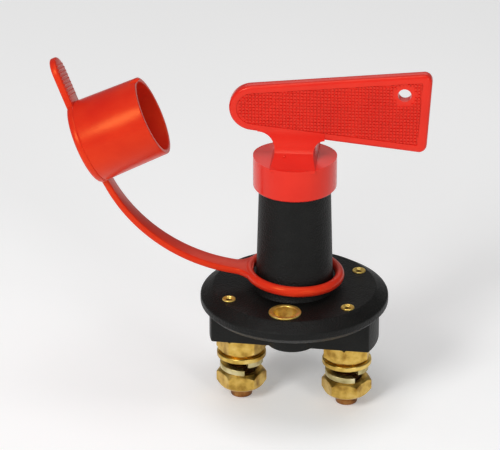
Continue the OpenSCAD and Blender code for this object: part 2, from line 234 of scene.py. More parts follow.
def rangeNode(tree, source, low, high):
    spread = tree.nodes.new("ShaderNodeMapRange")
    spread.inputs["To Min"].default_value = low
    spread.inputs["To Max"].default_value = high
    tree.links.new(source, spread.inputs["Value"])
    return spread.outputs["Result"]


def bumpNode(tree, shader, source, strength, distance):
    bump = tree.nodes.new("ShaderNodeBump")
    bump.inputs["Strength"].default_value = strength
    bump.inputs["Distance"].default_value = distance
    tree.links.new(source, bump.inputs["Height"])
    tree.links.new(bump.outputs["Normal"], shader.inputs["Normal"])


def blackPlastic(name, spec):
    material, tree, shader = nodeMaker(name, spec["roughness"])
    broad = noiseNode(tree, spec["broadScale"], 5)
    fine = noiseNode(tree, spec["grainScale"], 3)
    ramp = rampNode(tree, broad.outputs["Fac"], [(0.3, spec["dark"]), (0.75, spec["light"])])
    tree.links.new(ramp.outputs["Color"], shader.inputs["Base Color"])
    tree.links.new(rangeNode(tree, fine.outputs["Fac"], spec["roughness"] - 0.08, spec["roughness"] + 0.1),
                   shader.inputs["Roughness"])
    bumpNode(tree, shader, fine.outputs["Fac"], spec["grain"], 0.0004)
    shader.inputs["Specular IOR Level"].default_value = spec["specular"]
    return material


def redPlastic(name, spec):
    material, tree, shader = nodeMaker(name, spec["roughness"])
    broad = noiseNode(tree, spec["broadScale"], 3)
    fine = noiseNode(tree, spec["grainScale"], 2)
    ramp = rampNode(tree, broad.outputs["Fac"], [(0.3, spec["dark"]), (0.7, spec["light"])])
    tree.links.new(ramp.outputs["Color"], shader.inputs["Base Color"])
    tree.links.new(rangeNode(tree, broad.outputs["Fac"], spec["roughness"] - 0.05, spec["roughness"] + 0.07),
                   shader.inputs["Roughness"])
    bumpNode(tree, shader, fine.outputs["Fac"], spec["grain"], 0.0003)
    shader.inputs["Subsurface Weight"].default_value = spec["glow"]
    shader.inputs["Subsurface Radius"].default_value = (0.004, 0.0008, 0.0004)
    shader.inputs["Subsurface Scale"].default_value = 0.5
    shader.inputs["Specular Tint"].default_value = (*spec["tint"], 1)
    shader.inputs["Coat Weight"].default_value = spec["coat"]
    shader.inputs["Coat Roughness"].default_value = 0.18
    return material


def metal(name, spec):
    # turned or drawn metal with stains, and fine marks along one direction
    material, tree, shader = nodeMaker(name, spec["roughness"], spec.get("metallic", 1.0))
    stain = noiseNode(tree, spec["stainScale"], 5)
    marks = noiseNode(tree, spec["markScale"], 3, spec["markStretch"])
    ramp = rampNode(tree, stain.outputs["Fac"],
                    [(0.28, spec["dark"]), (0.52, spec["base"]), (0.8, spec["light"])])
    tree.links.new(ramp.outputs["Color"], shader.inputs["Base Color"])
    tree.links.new(rangeNode(tree, marks.outputs["Fac"], spec["roughness"] - 0.1, spec["roughness"] + 0.14),
                   shader.inputs["Roughness"])
    bumpNode(tree, shader, marks.outputs["Fac"], spec["marks"], 0.0003)
    return material


def paintShadeAbove(material, low, high):
    # paints shade: multiplies the colour down over a stretch of height
    tree = material.node_tree
    shader = tree.nodes["Principled BSDF"]
    source = shader.inputs["Base Color"].links[0].from_socket
    place = tree.nodes.new("ShaderNodeTexCoord")
    split = tree.nodes.new("ShaderNodeSeparateXYZ")
    spread = tree.nodes.new("ShaderNodeMapRange")
    spread.inputs["From Min"].default_value = low
    spread.inputs["From Max"].default_value = high
    spread.inputs["To Min"].default_value = 1.0
    spread.inputs["To Max"].default_value = 0.16
    tree.links.new(place.outputs["Object"], split.inputs["Vector"])
    tree.links.new(split.outputs["Z"], spread.inputs["Value"])
    scale = tree.nodes.new("ShaderNodeVectorMath")
    scale.operation = "SCALE"
    tree.links.new(source, scale.inputs[0])
    tree.links.new(spread.outputs["Result"], scale.inputs["Scale"])
    tree.links.new(scale.outputs["Vector"], shader.inputs["Base Color"])


finishes = {
    "flange": {"roughness": 0.44, "broadScale": 130, "grainScale": 1500, "grain": 0.8, "specular": 0.2,
               "dark": (0.0030, 0.0031, 0.0027), "light": (0.0066, 0.0066, 0.0058)},
    "base": {"roughness": 0.48, "broadScale": 110, "grainScale": 1100, "grain": 0.45, "specular": 0.2,
             "dark": (0.0045, 0.0046, 0.004), "light": (0.0085, 0.0086, 0.0075)},
    "key": {"roughness": 0.24, "broadScale": 60, "grainScale": 900, "grain": 0.08, "glow": 0.06, "coat": 0.1,
            "tint": (1.0, 0.42, 0.25), "dark": (0.72, 0.018, 0.012), "light": (0.80, 0.026, 0.015)},
    "cover": {"roughness": 0.3, "broadScale": 70, "grainScale": 600, "grain": 0.12, "glow": 0.1, "coat": 0.0,
              "tint": (1.0, 0.40, 0.10), "dark": (0.64, 0.020, 0.010), "light": (0.74, 0.036, 0.012)},
    "nut": {"roughness": 0.34, "stainScale": 260, "markScale": 700, "markStretch": (1, 1, 0.18), "marks": 0.35,
            "dark": (0.30, 0.15, 0.022), "base": (0.68, 0.44, 0.095), "light": (0.90, 0.66, 0.22)},
    "washer": {"roughness": 0.3, "stainScale": 220, "markScale": 800, "markStretch": (1, 1, 1), "marks": 0.2,
               "dark": (0.40, 0.23, 0.035), "base": (0.74, 0.51, 0.12), "light": (0.92, 0.70, 0.26)},
    "springWasher": {"roughness": 0.36, "stainScale": 240, "markScale": 900, "markStretch": (1, 1, 0.3), "marks": 0.35,
                     "dark": (0.34, 0.27, 0.10), "base": (0.64, 0.55, 0.27), "light": (0.84, 0.76, 0.50)},
    "stud": {"shadeFrom": -0.0352, "shadeTo": -0.0335,
             "roughness": 0.4, "stainScale": 320, "markScale": 500, "markStretch": (0.3, 0.3, 1), "marks": 0.2,
             "dark": (0.12, 0.04, 0.012), "base": (0.34, 0.14, 0.04), "light": (0.55, 0.30, 0.10)},
    "eyelet": {"metallic": 0.72,
               "roughness": 0.3, "stainScale": 300, "markScale": 900, "markStretch": (1, 1, 0.2), "marks": 0.15,
               "dark": (0.50, 0.29, 0.05), "base": (0.84, 0.60, 0.14), "light": (0.92, 0.74, 0.28)},
    # painted shade: a dark brass for the inside of the rivet holes
    "holeShadeBrass": {"roughness": 0.6, "stainScale": 400, "markScale": 900, "markStretch": (1, 1, 0.2), "marks": 0.15,
                  "dark": (0.06, 0.025, 0.006), "base": (0.13, 0.06, 0.014), "light": (0.22, 0.11, 0.03)},
    "contact": {"roughness": 0.3, "stainScale": 180, "markScale": 600, "markStretch": (0.2, 1, 1), "marks": 0.2,
                "dark": (0.46, 0.17, 0.08), "base": (0.72, 0.33, 0.18), "light": (0.82, 0.48, 0.30)},
    "steel": {"roughness": 0.28, "stainScale": 220, "markScale": 700, "markStretch": (1, 1, 0.3), "marks": 0.15,
              "dark": (0.34, 0.34, 0.35), "base": (0.56, 0.56, 0.57), "light": (0.68, 0.68, 0.69)},
    "nylon": {"roughness": 0.42, "broadScale": 80, "grainScale": 800, "grain": 0.12, "glow": 0.1, "coat": 0.0,
              "tint": (1, 1, 1),
              "dark": (0.58, 0.55, 0.46), "light": (0.68, 0.65, 0.56)},
}

flangeBlack = blackPlastic("flangeBlack", finishes["flange"])
baseBlack = blackPlastic("baseBlack", finishes["base"])
keyRed = redPlastic("keyRed", finishes["key"])
coverRed = redPlastic("coverRed", finishes["cover"])
nylonWhite = redPlastic("nylonWhite", finishes["nylon"])
nutBrass = metal("nutBrass", finishes["nut"])
washerBrass = metal("washerBrass", finishes["washer"])
paleZinc = metal("paleZinc", finishes["springWasher"])
studCopper = metal("studCopper", finishes["stud"])
# painted shade on the stud where it sits inside the stack of nuts and washers
paintShadeAbove(studCopper, finishes["stud"]["shadeFrom"], finishes["stud"]["shadeTo"])
eyeletBrass = metal("eyeletBrass", finishes["eyelet"])
holeShadeBrass = metal("holeShadeBrass", finishes["holeShadeBrass"])
contactCopper = metal("contactCopper", finishes["contact"])
springSteel = metal("springSteel", finishes["steel"])
print("materials made")

# upper housing: flange, cone at the post's foot, and post
housing = {"flangeR": 34, "rimH": 4.6, "topR": 29.8, "topZ": 7.5, "rimCut": 2.1, "shoulderR": 15, "shoulderZ": 9.4,
           "postBaseR": 13.8, "postTopR": 12.7, "postZ": 56, "recessR": 31.2, "recessZ": 3,
           "boreR": 9.6, "boreTop": 31.3, "neckR": 8.7, "plateZ": 50, "keyAngle": 4,
           "slotReach": 8.3, "slotW": 4.6, "holeR": 5.3}
rivetSpots = [(sx * 21.5, sy * 15.2) for sx in (-1, 1) for sy in (-1, 1)]
bushSpots = [(0, -23), (0, 23)]
rivetHoleR, rivetFootHoleR, bushHoleR = 1.55, 2.45, 4.95


def makeUpperHousing(h):
    outline = [(0, h["plateZ"]), (h["neckR"], h["plateZ"]), (h["neckR"], h["boreTop"]), (h["boreR"], h["boreTop"]),
               (h["boreR"], h["recessZ"]), (h["recessR"], h["recessZ"]), (h["recessR"], 0)]
    outline += arc(h["flangeR"] - h["rimCut"] - 0.2, 0.4, 0.4, 270, 315, 3)
    outline += arc(h["flangeR"] - 0.6, h["rimCut"] + 0.3, 0.6, 315, 360, 3)
    outline += arc(h["flangeR"] - 0.9, h["rimH"] - 0.55, 0.9, 0, 58, 6)
    outline += arc(h["topR"] - 0.8, h["topZ"] - 1.3, 1.3, 58, 90, 5)
    outline += [(h["shoulderR"], h["topZ"]), (h["postBaseR"] + 0.1, h["shoulderZ"])]
    outline += arc(h["postTopR"] - 1.2, h["postZ"] - 1.2, 1.2, 2, 90, 6) + [(0, h["postZ"])]
    body = solidLathe("upperHousing", outline, flangeBlack, 160)
    cutters = [extrude("cut", roundOutline(x, y, rivetHoleR, 24), 1, 12, flangeBlack) for x, y in rivetSpots]
    cutters += [extrude("cut", roundOutline(x, y, bushHoleR, 48), 1, 12, flangeBlack) for x, y in bushSpots]
    cutters.append(extrude("cut", roundOutline(0, 0, h["holeR"], 60), h["plateZ"] - 2, 60, flangeBlack))
    s, w = h["slotReach"], h["slotW"] / 2
    slot = extrude("cut", [(-s, -w), (s, -w), (s, w), (-s, w)], h["plateZ"] - 2, 60, flangeBlack)
    cutters.append(turnPiece(slot, Matrix.Rotation(math.radians(h["keyAngle"]), 4, "Z")))
    combine(body, cutters, "DIFFERENCE")
    shadeByAngle(body, 35)
    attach(body, "root")
    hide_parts("upper_housing")


makeUpperHousing(housing)
print("upper housing made")

# lower housing: terminal block with a round bulge on each flat side
block = {"discR": 31, "discZ": 3, "endR": 30.8, "halfW": 11.2, "depth": 12.3, "bulgeR": 9.2, "bulgeY": 6.2,
         "chamberX": 27.3, "chamberY": 9, "chamberZ": -5.6, "pocket": 6.7, "pocketZ": -9.3,
         "wellR": 7.8, "wellZ": -10.3, "studX": 19.4, "studR": 5.05, "edge": 0.6}


def blockOutline(b):
    side = math.degrees(math.asin(b["halfW"] / b["endR"]))
    swell = math.degrees(math.asin((b["halfW"] - b["bulgeY"]) / b["bulgeR"]))
    return (arc(0, 0, b["endR"], -side, side, 24)
            + arc(0, b["bulgeY"], b["bulgeR"], swell, 180 - swell, 28)
            + arc(0, 0, b["endR"], 180 - side, 180 + side, 24)
            + arc(0, -b["bulgeY"], b["bulgeR"], 180 + swell, 360 - swell, 28))


def makeLowerHousing(b):
    body = extrude("lowerHousing", blockOutline(b), -b["depth"], 1, baseBlack)
    soften(body, b["edge"], 4, 50)
    disc = solidLathe("disc", [(0, 0), (b["discR"], 0), (b["discR"], b["discZ"]), (0, b["discZ"])], baseBlack, 128)
    combine(body, [disc], "UNION")
    x, y, p = b["chamberX"], b["chamberY"], b["pocket"]
    cutters = [extrude("cut", [(-x, -y), (x, -y), (x, y), (-x, y)], b["chamberZ"], 5, baseBlack),
               extrude("cut", roundOutline(0, 0, b["wellR"], 60), b["wellZ"], 0, baseBlack)]
    for side in (-1, 1):
        c = side * b["studX"]
        pocket = [(c - p, -p), (c + p, -p), (c + p, p), (c - p, p)]
        cutters.append(extrude("cut", pocket, b["pocketZ"], 0, baseBlack))
        cutters.append(extrude("cut", roundOutline(c, 0, b["studR"], 48), -20, 0, baseBlack))
    cutters += [extrude("cut", roundOutline(u, v, rivetHoleR, 24), -2, 6, baseBlack) for u, v in rivetSpots]
    cutters += [extrude("cut", roundOutline(u, v, rivetFootHoleR, 24), -2, 0.8, baseBlack) for u, v in rivetSpots]
    cutters += [extrude("cut", roundOutline(u, v, bushHoleR, 48), -2, 6, baseBlack) for u, v in bushSpots]
    combine(body, cutters, "DIFFERENCE")
    shadeByAngle(body, 35)
    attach(body, "root")
    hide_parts("lower_housing")


makeLowerHousing(block)
print("lower housing made")

# mounting bushes and rivets
bush = {"boreR": 2.65, "barrelR": 4.9, "rimR": 5.85, "topZ": 7.5, "rimH": 0.7, "recessR": 4.2, "recessZ": 3.2}
rivet = {"holeR": 1.0, "shankR": 1.5, "headR": 2.45, "footR": 2.4, "footLow": 0.2, "footHigh": 0.8, "topZ": 7.5}


def makeBush(name, spot, node, b):
    outline = [(b["boreR"], 0.15), (b["boreR"] + 0.15, 0), (b["barrelR"], 0), (b["barrelR"], b["topZ"]),
               (b["rimR"] - 0.1, b["topZ"])]
    outline += arc(b["rimR"] - 0.32, b["topZ"] + 0.3, 0.32, -30, 100, 7)
    outline += arc(b["recessR"] + 0.4, b["topZ"] + b["rimH"] - 0.4, 0.4, 90, 180, 7)
    outline += [(b["recessR"], b["recessZ"] + 0.3), (b["recessR"] - 0.3, b["recessZ"]),
                (b["boreR"] + 0.15, b["recessZ"]), (b["boreR"], b["recessZ"] - 0.15)]
    piece = lathe(name, outline, eyeletBrass, 72, spot, 50)
    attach(piece, "root")
    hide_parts(node)


def makeRivet(name, spot, node, r):
    outline = [(r["holeR"], r["footLow"]), (r["footR"] - 0.15, r["footLow"]), (r["footR"], r["footLow"] + 0.15),
               (r["footR"], r["footHigh"]), (r["shankR"], r["footHigh"]), (r["shankR"], r["topZ"])]
    outline += arc(r["headR"] - 0.42, r["topZ"] + 0.02, 0.42, 0, 170, 9)
    outline += [(r["holeR"] + 0.35, r["topZ"] + 0.1), (r["holeR"], r["topZ"] - 0.25)]
    piece = lathe(name, outline, eyeletBrass, 40, spot, 50)
    # faces inside the hole take the dark brass, painted shade down the hole
    piece.data.materials.append(holeShadeBrass)
    for face in piece.data.polygons:
        middle = face.center / mm - Vector((*spot, 0))
        if math.hypot(middle.x, middle.y) < r["holeR"] + 0.1:
            face.material_index = 1
    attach(piece, "root")
    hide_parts(node)


for spot, place in zip(bushSpots, ("front", "rear")):
    makeBush("mountingBush." + place, spot, "mounting_bush_" + place, bush)
for x, y in rivetSpots:
    place = ("front" if y < 0 else "rear") + "_" + ("left" if x < 0 else "right")
    makeRivet("rivet." + place, (x, y), "rivet_" + place, rivet)
print("bushes and rivets made")

# terminals
terminal = {"x": 19.4, "studR": 5.0, "threadDepth": 0.8, "pitch": 1.5, "threadTop": -12.4, "threadEnd": -34.4,
            "tipR": 4.0, "tipZ": -38.2, "headZ": -4.85, "pocketZ": -9.3, "headHalf": 6.5,
            "flats": 16, "nutBore": 5.05, "nutChamfer": 1.9,
            "baseNut": (-20.1, -12.3), "flatWasher": (-22.1, -20.1), "springWasher": (-27.5, -22.1),
            "terminalNut": (-34.0, -27.5), "washerR": 9.0, "washerBore": 5.3,
            "springIn": 5.3, "springOut": 7.9, "springT": 2.2,
            "turns": {-1: (9, 9), 1: (31, 2)}, "splits": {-1: -73, 1: -60}}


def studRing(radius, z, count):
    return [(radius * math.cos(2 * math.pi * k / count), radius * math.sin(2 * math.pi * k / count), z)
            for k in range(count)]


def makeStud(side, place, t):
    # threaded shank: the radius follows a sharp wave that climbs one pitch a turn
    perTurn, around = 10, 60
    rows = int((t["threadTop"] - t["threadEnd"]) / t["pitch"] * perTurn)
    tip = [(0.3, t["tipZ"]), (t["tipR"] - 0.6, t["tipZ"]), (t["tipR"] - 0.15, t["tipZ"] + 0.2),
           (t["tipR"], t["tipZ"] + 0.6), (t["tipR"], t["threadEnd"] - 0.5), (t["tipR"] + 0.1, t["threadEnd"] - 0.1)]
    rings = [studRing(r, z, around) for r, z in tip]
    for i in range(rows + 1):
        z = t["threadEnd"] + (t["threadTop"] - t["threadEnd"]) * i / rows
        ease = min(1, i / perTurn, (rows - i) / perTurn + 0.2)
        ring = []
        for k in range(around):
            phase = ((z - t["threadEnd"]) / t["pitch"] - k / around) % 1
            depth = min(1, max(0, abs(phase * 2 - 1) * 1.25 - 0.1))
            r = t["studR"] - t["threadDepth"] * depth * ease
            a = 2 * math.pi * k / around
            ring.append((r * math.cos(a), r * math.sin(a), z))
        rings.append(ring)
    top = [(t["studR"], t["threadTop"] + 0.2), (t["studR"], t["pocketZ"] + 0.5), (0.3, t["pocketZ"] + 0.5)]
    rings += [studRing(r, z, around) for r, z in top]
    piece = loft("terminalStud." + place, rings, studCopper, smooth=50)
    h = t["headHalf"]
    head = extrude("head", [(-h, -h), (h, -h), (h, h), (-h, h)], t["pocketZ"], t["headZ"], studCopper)
    soften(head, 0.4, 2, 30)
    joinPieces(piece, [head])
    turnPiece(piece, Matrix.Translation((side * t["x"] * mm, 0, 0)))
    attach(piece, "root")
    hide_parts("terminal_stud_" + place)


def makeNut(name, side, low, high, turn, node, t):
    # a hexagon whose corners are turned off by a cone at each end
    corner = t["flats"] / 2 / math.cos(math.pi / 6)
    cone = 0.85
    angles = []
    for face in range(6):
        for step in (-30, -29.2, -27, -22, -16, -8, 0, 8, 16, 22, 27, 29.2):
            angles.append(math.radians(turn + 30 + face * 60 + step))
    heights = [0, 0.15, 0.4, 0.65, 0.9, 1.2, 1.5, 1.8]
    span = high - low
    levels = heights + [span / 2] + [span - v for v in reversed(heights)]
    rings = []
    for level in levels:
        room = corner - t["nutChamfer"] + min(level, span - level) / cone
        rings.append([(min(room, rim) * math.cos(a), min(room, rim) * math.sin(a), low + level)
                      for a, rim in ((a, hexRadius(a - math.radians(turn), t["flats"] / 2)) for a in angles)])
    bore = t["nutBore"]
    for r, z in ((bore + 0.7, high), (bore, high - 0.7), (bore, low + 0.7), (bore + 0.7, low)):
        rings.append([(r * math.cos(a), r * math.sin(a), z) for a in angles])
    piece = loft(name, rings, nutBrass, closed=True, smooth=24)
    turnPiece(piece, Matrix.Translation((side * t["x"] * mm, 0, 0)))
    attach(piece, "root")
    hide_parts(node)


def hexRadius(angle, half):
    # distance from the axis to a flat, with the corners just broken
    part = (math.degrees(angle) % 60) - 30
    return min(half / math.cos(math.radians(part)), half / math.cos(math.pi / 6) - 0.08)


def makeFlatWasher(side, place, t):
    low, high = t["flatWasher"]
    outline = [(t["washerBore"], low), (t["washerBore"], high)]
    outline += arc(t["washerR"] - 0.45, high - 0.45, 0.45, 90, 0, 4)
    outline += arc(t["washerR"] - 0.45, low + 0.45, 0.45, 0, -90, 4)
    piece = lathe("flatWasher." + place, outline, washerBrass, 96, (side * t["x"], 0), 40)
    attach(piece, "root")
    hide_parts("flat_washer_" + place)


def makeSpringWasher(side, place, t):
    low, high = t["springWasher"]
    thick, steps = t["springT"], 80
    inner, outer, edge = t["springIn"], t["springOut"], 0.28
    section = (arc(outer - edge, thick - edge, edge, 90, 0, 3) + arc(outer - edge, edge, edge, 0, -90, 3)
               + arc(inner + edge, edge, edge, 270, 180, 3) + arc(inner + edge, thick - edge, edge, 180, 90, 3))
    rings = []
    for i in range(steps + 1):
        a = math.radians(t["splits"][side] - 350 * i / steps)
        lift = (high - low - thick) * i / steps
        rings.append([(r * math.cos(a), r * math.sin(a), low + lift + z) for r, z in section])
    piece = loft("springWasher." + place, rings, paleZinc, smooth=40)
    turnPiece(piece, Matrix.Translation((side * t["x"] * mm, 0, 0)))
    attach(piece, "root")
    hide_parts("spring_washer_" + place)


for side, place in ((-1, "left"), (1, "right")):
    makeStud(side, place, terminal)
    baseTurn, endTurn = terminal["turns"][side]
    makeNut("baseNut." + place, side, *terminal["baseNut"], baseTurn, "base_nut_" + place, terminal)
    makeNut("terminalNut." + place, side, *terminal["terminalNut"], endTurn, "terminal_nut_" + place, terminal)
    makeFlatWasher(side, place, terminal)
    makeSpringWasher(side, place, terminal)
print("terminals made")

# key: hub, waisted neck, tapering blade with a pressed grip field
key = {"angle": 4, "hubR": 15, "hubLow": 47.2, "hubTop": 59.3, "backFall": 1.3, "frontFall": 0.1,
       "skirtR": 13.3,
       "skirtTop": 56.4, "bladeLong": 48.5, "bladeBack": 23.5, "bladeT": 4.8, "bladeZ": 77.5, "endR": 8.6,
       "round": 1.15, "taper": 5.8, "lean": 1.6, "corner": 3.0, "rim": 2.6, "sunk": 0.45,
       "hole": (38.8, 84.5), "holeR": 2.4,
       "neckHalf": 6.9, "neckZ": 62.5, "footR": 4.8, "footTurn": 43, "armR": (6.4, 3.8),
       "sweepR": 14.6, "sweepTurn": 86,
       "stemR": 5.0, "stemLow": 18.2, "lugReach": 8.0, "lugW": 4.0, "lugLow": 19, "lugHigh": 24,
       "pitch": 1.22, "bump": 0.48, "pip": (-3.4, 61.6)}


def bladeEdge(k, inset, x):
    # half height of the blade at x
    x0 = k["endR"] - k["bladeBack"]
    return (k["endR"] - inset) / math.cos(math.radians(k["taper"])) + math.tan(math.radians(k["taper"])) * (x - x0)


def bladeOutline(k, inset):
    x0, x1 = k["endR"] - k["bladeBack"], k["bladeLong"] - 1.25 * inset
    r = max(k["corner"] - inset, 0.6)
    low = x1 - k["lean"]
    points = arc(x0, 0, k["endR"] - inset, 90 + k["taper"], 270 - k["taper"], 28)
    points += arc(low - r, r - bladeEdge(k, inset, low), r, 270 + k["taper"], 358, 7)
    points += arc(x1 - r, bladeEdge(k, inset, x1) - r, r, -2, 90 - k["taper"], 7)
    return [(x, z + k["bladeZ"]) for x, z in points]


def neckFront(k):
    w, z, foot, turn = k["neckHalf"], k["neckZ"], k["footR"], k["footTurn"]
    short, long = k["armR"]
    top = k["bladeZ"] - k["endR"] + 2
    return (arc(-w - foot, z, foot, -turn, 0, 10) + arc(-w - short, z, short, 0, 90, 20)
            + [(-w - short, top), (w + long, top)] + arc(w + long, z, long, 90, 180, 16)
            + arc(w + foot, z, foot, 180, 180 + turn, 10) + [(w + 1, k["hubTop"] - 1), (-w - 1, k["hubTop"] - 1)])


def neckSide(k):
    # the front and back sweep down from the blade to the hub's rim in a quarter ellipse
    half, top = k["bladeT"] / 2, k["bladeZ"] - k["endR"] + 1.5
    reach, rise = k["sweepR"] - half, top - k["hubTop"]
    curve = []
    for i in range(25):
        a = math.radians(k["sweepTurn"] * i / 24)
        curve.append((k["sweepR"] - reach * math.cos(a), top - rise * math.sin(a)))
    front = [(half, top + 0.5)] + curve + [(curve[-1][0], k["hubTop"] - 1)]
    return front + [(-y, z) for y, z in reversed(front)]


def makeKey(k):
    half, low = k["bladeT"] / 2, k["bladeZ"] - k["endR"]
    hub = lathe("key", [(k["stemR"] - 1, k["hubTop"] + 1), (k["stemR"] - 1, k["skirtTop"]),
                        (k["skirtR"], k["skirtTop"])]
                + [(k["skirtR"], k["hubLow"] + 0.3), (k["skirtR"] + 0.3, k["hubLow"])]
                + arc(k["hubR"] - 0.8, k["hubLow"] + 0.8, 0.8, 270, 360, 5)
                + [(k["hubR"], k["hubTop"] + 1)], keyRed, 144)
    top, span = k["hubTop"], 17
    gable = extrude("gable", [(-span, k["hubLow"] - 3), (span, k["hubLow"] - 3),
                              (span, top - k["backFall"] * span / k["hubR"]), (0, top),
                              (-span, top - k["frontFall"] * span / k["hubR"])], -span, span, keyRed, "yz")
    combine(hub, [gable], "INTERSECT")
    neck = extrude("neck", neckFront(k), -16, 16, keyRed, "xz")
    depth = extrude("depth", neckSide(k), -18, 18, keyRed, "yz")
    combine(neck, [depth], "INTERSECT")
    blade = extrude("blade", bladeOutline(k, 0), -half, half, keyRed, "xz")
    soften(blade, k["round"], 5, 50)
    plug = solidLathe("stem", [(0, k["stemLow"]), (k["stemR"] - 0.6, k["stemLow"]),
                               (k["stemR"], k["stemLow"] + 0.6), (k["stemR"], top - 1.5), (0, top - 1.5)], keyRed, 96)
    r, w = k["lugReach"], k["lugW"] / 2
    side = math.degrees(math.asin(w / r))
    lugs = extrude("lugs", arc(0, 0, r, -side, side, 6) + arc(0, 0, r, 180 - side, 180 + side, 6),
                   k["lugLow"], k["lugHigh"], keyRed)
    combine(hub, [plug, lugs, neck, blade], "UNION")
    field = bladeOutline(k, k["rim"])
    cutters = [extrude("field", field, face * (half - k["sunk"]), face * (half + 0.6), keyRed, "xz")
               for face in (-1, 1)]
    hx, hz = k["hole"]
    cutters.append(extrude("hole", roundOutline(hx, hz, k["holeR"], 48), -6, 6, keyRed, "xz"))
    combine(hub, cutters, "DIFFERENCE")
    soften(hub, 0.5, 4, 28, 40)
    x, z = k["pip"]
    pip = solidLathe("pip", [(0, -0.2)] + arc(0, 0, 0.6, 0, 90, 5), keyRed, 16)
    turnPiece(pip, Matrix.Translation((x * mm, -neckDepth(k, z) * mm, z * mm))
              @ Matrix.Rotation(math.radians(52), 4, "X"))
    joinPieces(hub, [makeGrip(k, face) for face in (-1, 1)] + [pip])
    shadeByAngle(hub, 40)
    turnPiece(hub, Matrix.Rotation(math.radians(k["angle"]), 4, "Z"))
    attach(hub, "key")
    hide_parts("key")


def neckDepth(k, z):
    # how far forward the neck's sweep is at a height
    half, top = k["bladeT"] / 2, k["bladeZ"] - k["endR"] + 1.5
    a = math.asin((top - z) / (top - k["hubTop"]))
    return k["sweepR"] - (k["sweepR"] - half) * math.cos(a)


def makeGrip(k, face):
    # rows of small flat-topped bumps on the floor of the sunken field, cut off at its edge
    pitch, margin = k["pitch"], k["rim"] + 0.12
    floor = face * (k["bladeT"] / 2 - k["sunk"] - 0.05)
    top = face * (k["bladeT"] / 2 - k["sunk"] + k["bump"])
    foot, head = pitch * 0.37, pitch * 0.30
    x0, x1 = k["endR"] - k["bladeBack"], k["bladeLong"] - 1.25 * margin
    verts, faces = [], []

    def edge(x):
        if x < x0:
            room = (k["endR"] - margin) ** 2 - (x - x0) ** 2
            return math.sqrt(room) if room > 0 else 0
        return bladeEdge(k, margin, x)

    for i in range(int(-k["bladeBack"] / pitch), int(x1 / pitch) + 2):
        for j in range(-14, 15):
            x, z = i * pitch, j * pitch
            clear = k["holeR"] + 1.6
            if math.hypot(x - k["hole"][0], k["bladeZ"] + z - k["hole"][1]) < clear:
                continue
            start, wanted = len(verts), []
            for reach, y in ((foot, floor), (head, top)):
                left, right = max(x - reach, x0 - k["endR"] + margin), min(x + reach, x1 - k["lean"] * (0.5 - z / 24))
                room = min(edge(left), edge(right))
                low, high = max(z - reach, -room), min(z + reach, room)
                wanted.append((left, right, low, high))
                verts += [(left, y, k["bladeZ"] + low), (right, y, k["bladeZ"] + low),
                          (right, y, k["bladeZ"] + high), (left, y, k["bladeZ"] + high)]
            left, right, low, high = wanted[1]
            if right - left < 0.12 or high - low < 0.12:
                del verts[start:]
                continue
            faces.append(tuple(start + n for n in (0, 1, 2, 3)))
            faces.append(tuple(start + n for n in (7, 6, 5, 4)))
            faces += [tuple(start + n for n in (m, 4 + m, 4 + (m + 1) % 4, (m + 1) % 4)) for m in range(4)]
    return newPiece("grip", verts, faces, keyRed, 20)


makeKey(key)
print("key made")

# cover: ring, strap, cup and pull tab, one soft moulding
cover = {"angle": 6, "ringR": 16.35, "ringZ": 12.8, "ringTilt": 3, "ringHalfW": 1.65, "ringHalfH": 1.9,
         "bendCentre": (-12.75, 74.31), "bendR": 60.5, "from": 2.0, "to": 66.4, "hinges": (19.6, 49.8),
         "strapW": 8.2, "strapT": 2.4, "rootW": 18.5,
         "mouth": (-50.7, 73.4), "tilt": 25.1, "cupL": 26.8, "mouthR": 14.6, "footR": 15.1, "boreR": 13.0,
         "discR": 15.4, "floor": 2.8, "tabTurn": 17, "tabReach": 32.4, "tabW": 12, "tabT": 2.5, "tabLift": 0.15,
         "ribs": 9}
coverTurn = Matrix.Rotation(math.radians(cover["angle"]), 4, "Z")


def bendPoint(c, angle, out=0.0):
    # point on the strap's bend; out is the distance from its middle towards the bend's centre
    a, r = math.radians(angle), c["bendR"] - out
    return c["bendCentre"][0] - r * math.sin(a), c["bendCentre"][1] - r * math.cos(a)


def strapSection(width, thick, edge=0.75):
    w, t = width / 2 - edge, thick / 2 - edge
    return (arc(w, t, edge, 0, 90, 4) + arc(-w, t, edge, 90, 180, 4)
            + arc(-w, -t, edge, 180, 270, 4) + arc(w, -t, edge, 270, 360, 4))


def makeStrap(name, start, end, c):
    steps, rings = 44, []
    for i in range(steps + 1):
        angle = start + (end - start) * i / steps
        near = max(0.0, 1 - (angle - c["from"]) / 6.5)
        far = max(0.0, 1 - (c["to"] - angle) / 3.5)
        width = c["strapW"] + (c["rootW"] - c["strapW"]) * near ** 2 + 1.6 * far ** 2
        ring = []
        for v, n in strapSection(width, c["strapT"]):
            u, z = bendPoint(c, angle, n)
            ring.append((u, v, z))
        rings.append(ring)
    return turnPiece(loft(name, rings, coverRed, smooth=50), coverTurn)


